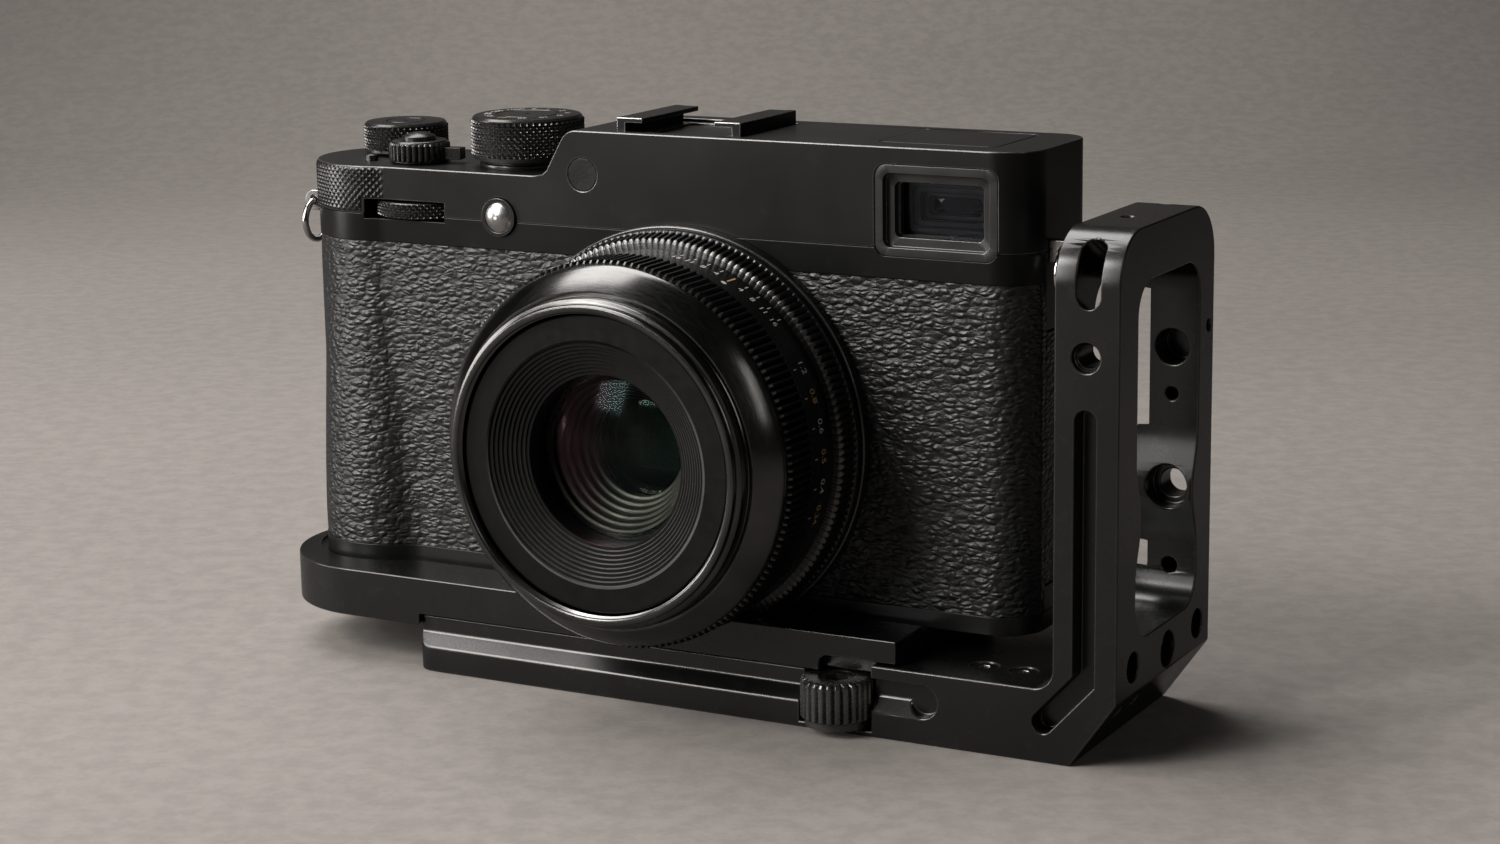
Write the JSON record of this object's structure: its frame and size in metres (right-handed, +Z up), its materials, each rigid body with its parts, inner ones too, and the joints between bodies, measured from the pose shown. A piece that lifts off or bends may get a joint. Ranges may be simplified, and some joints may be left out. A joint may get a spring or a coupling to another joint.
{
  "type": "camera on an l-bracket",
  "caption": "Compact rangefinder-style camera with a short lens, carried on a sliding quick-release L-bracket with a windowed upright and a lock wheel.",
  "frame": {"origin": "underside of the rail, below the lens axis and midway across the rail", "axes": "+X along the rail to the upright, +Y from the lens to the screen, +Z up"},
  "size_m": [0.1532, 0.0573, 0.0884],
  "materials": {
    "anodised_black": "black anodised, fine bead-blasted, satin",
    "black_steel": "black oxide",
    "brass": "plain machined",
    "rubber": "matt moulded rubber",
    "steel": "turned and brushed",
    "cast_frame": "die cast, as cast",
    "black_paint": "fine satin black paint",
    "leather": "pebbled black leatherette",
    "sensor_glass": "coated cover glass on a green carrier",
    "dark_plastic": "fine matt moulded plastic",
    "circuit": "solder mask over copper",
    "battery_case": "matt moulded plastic",
    "clear_glass": "polished, coated",
    "screen_glass": "black screen under glass",
    "lamp_lens": "frosted plastic",
    "polished_steel": "polished",
    "dial_metal": "black anodised, knurled",
    "lens_black": "satin black anodised",
    "matt_black": "matt black",
    "coated_glass": "multicoated, green and magenta reflections"
  },
  "bodies": {
    "bracket": {"l_plate": "anodised_black", "deck_screws": "black_steel"},
    "carriage": {"camera_tray": "anodised_black", "tray_pad": "rubber", "tripod_screw": "steel", "guide_screws": "steel", "chassis": "cast_frame", "front_cover": "black_paint", "rear_cover": "black_paint", "top_cover": "black_paint", "bottom_cover": "black_paint", "leather_wrap": "leather", "thumb_rest": "rubber", "lens_mount": "steel", "mount_screws": "steel", "image_sensor": "sensor_glass", "shutter_unit": "dark_plastic", "main_board": "circuit", "battery": "battery_case", "finder_bezel": "dark_plastic", "finder_window": "clear_glass", "finder_prism": "clear_glass", "eyepiece": "rubber", "eyepiece_lens": "clear_glass", "rear_screen": "screen_glass", "finder_top_plate": "black_paint", "hot_shoe": "steel", "shoe_spring": "steel", "af_lamp": "lamp_lens", "dial_base": "dial_metal", "button_ring": "dial_metal", "strap_lugs": "polished_steel", "port_block": "dark_plastic", "cover_screws": "black_steel", "lens_barrel": "lens_black", "filter_ring": "lens_black", "front_cone": "matt_black", "front_glass": "coated_glass", "inner_lenses": "coated_glass", "iris_blades": "matt_black"},
    "lock_wheel_body": {"lock_wheel": "anodised_black"},
    "lock_shoe_body": {"lock_shoe": "brass"},
    "battery_door_body": {"battery_door": "dark_plastic"},
    "front_button_body": {"front_button": "polished_steel"},
    "front_dial_body": {"front_dial": "dial_metal"},
    "rear_dial_body": {"rear_dial": "dial_metal"},
    "shutter_dial_body": {"shutter_dial": "dial_metal"},
    "exposure_dial_body": {"exposure_dial": "dial_metal"},
    "power_collar_body": {"power_collar": "dial_metal"},
    "shutter_release_body": {"shutter_release": "polished_steel"},
    "pin_button_body": {"pin_button": "polished_steel"},
    "playback_button_body": {"playback_button": "dark_plastic"},
    "menu_button_body": {"menu_button": "dark_plastic"},
    "focus_stick_body": {"focus_stick": "rubber"},
    "strap_ring_left_body": {"strap_ring_left": "polished_steel"},
    "strap_ring_right_body": {"strap_ring_right": "polished_steel"},
    "port_door_body": {"port_door": "leather"},
    "lens_release_body": {"lens_release": "dial_metal"},
    "aperture_ring_body": {"aperture_ring": "lens_black"},
    "focus_ring_body": {"focus_ring": "lens_black"}
  },
  "joints": [
    {"name": "tray_slide", "type": "slide", "parent": "bracket", "child": "carriage", "axis": [1, 0, 0], "range_m": [-0.02, 0]},
    {"name": "lock_wheel_turn", "type": "hinge", "parent": "bracket", "child": "lock_wheel_body", "pos_m": [0.0315, -0.0182, 0.005], "axis": [0, 0, 1], "range_deg": [0, 180]},
    {"name": "lock_shoe_slide", "type": "slide", "parent": "bracket", "child": "lock_shoe_body", "axis": [0, 1, 0], "range_m": [-0.00055, 0]},
    {"name": "battery_door_turn", "type": "hinge", "parent": "carriage", "child": "battery_door_body", "pos_m": [-0.0667, 0.0035, 0.01495], "axis": [0, 1, 0], "range_deg": [0, 85]},
    {"name": "front_button_press", "type": "slide", "parent": "carriage", "child": "front_button_body", "axis": [0, 1, 0], "range_m": [0, 0.0005], "stiffness_N_per_m": 250, "springref_m": -0.001},
    {"name": "front_dial_turn", "type": "hinge", "parent": "carriage", "child": "front_dial_body", "pos_m": [-0.0507, 0.0002, 0.07215], "axis": [0, 0, 1], "continuous": true},
    {"name": "rear_dial_turn", "type": "hinge", "parent": "carriage", "child": "rear_dial_body", "pos_m": [-0.0435, 0.0092, 0.07555], "axis": [0, 0, 1], "continuous": true},
    {"name": "shutter_dial_turn", "type": "hinge", "parent": "carriage", "child": "shutter_dial_body", "pos_m": [-0.034, 0.004, 0.083], "axis": [0, 0, 1], "continuous": true},
    {"name": "exposure_dial_turn", "type": "hinge", "parent": "carriage", "child": "exposure_dial_body", "pos_m": [-0.0616, 0.01, 0.081], "axis": [0, 0, 1], "range_deg": [-120, 120]},
    {"name": "power_collar_turn", "type": "hinge", "parent": "carriage", "child": "power_collar_body", "pos_m": [-0.0526, 0.0006, 0.08], "axis": [0, 0, 1], "range_deg": [-35, 0]},
    {"name": "shutter_release_press", "type": "slide", "parent": "carriage", "child": "shutter_release_body", "axis": [0, 0, -1], "range_m": [0, 0.0012], "stiffness_N_per_m": 250, "springref_m": -0.001},
    {"name": "pin_button_press", "type": "slide", "parent": "carriage", "child": "pin_button_body", "axis": [0, 0, -1], "range_m": [0, 0.0005], "stiffness_N_per_m": 250, "springref_m": -0.001},
    {"name": "playback_button_press", "type": "slide", "parent": "carriage", "child": "playback_button_body", "axis": [0, -1, 0], "range_m": [0, 0.0005], "stiffness_N_per_m": 250, "springref_m": -0.001},
    {"name": "menu_button_press", "type": "slide", "parent": "carriage", "child": "menu_button_body", "axis": [0, -1, 0], "range_m": [0, 0.0005], "stiffness_N_per_m": 250, "springref_m": -0.001},
    {"name": "focus_stick_tilt", "type": "hinge", "parent": "carriage", "child": "focus_stick_body", "pos_m": [-0.0445, 0.0128, 0.046], "axis": [1, 0, 0], "range_deg": [-10, 10], "stiffness_Nm_per_rad": 0.02},
    {"name": "lens_release_press", "type": "slide", "parent": "carriage", "child": "lens_release_body", "axis": [0, 1, 0], "range_m": [0, 0.001], "stiffness_N_per_m": 250, "springref_m": -0.001},
    {"name": "strap_ring_left_swing", "type": "hinge", "parent": "carriage", "child": "strap_ring_left_body", "pos_m": [-0.0753, 0.003, 0.0713], "axis": [0, 1, 0], "range_deg": [0, 90]},
    {"name": "strap_ring_right_swing", "type": "hinge", "parent": "carriage", "child": "strap_ring_right_body", "pos_m": [0.0597, 0.001, 0.0713], "axis": [0, 1, 0], "range_deg": [-55, 0]},
    {"name": "port_door_turn", "type": "hinge", "parent": "carriage", "child": "port_door_body", "pos_m": [0.0566, -0.0007, 0.04], "axis": [0, 0, 1], "range_deg": [-95, 0]},
    {"name": "aperture_ring_turn", "type": "hinge", "parent": "carriage", "child": "aperture_ring_body", "pos_m": [0, -0.0115, 0.041], "axis": [0, -1, 0], "range_deg": [-35, 35]},
    {"name": "focus_ring_turn", "type": "hinge", "parent": "carriage", "child": "focus_ring_body", "pos_m": [0, -0.024, 0.041], "axis": [0, -1, 0], "range_deg": [-60, 60]}
  ],
  "couplings": [
    {"joint": "lock_shoe_slide", "follows": "lock_wheel_turn", "m_per_rad": -0.000159}
  ]
}
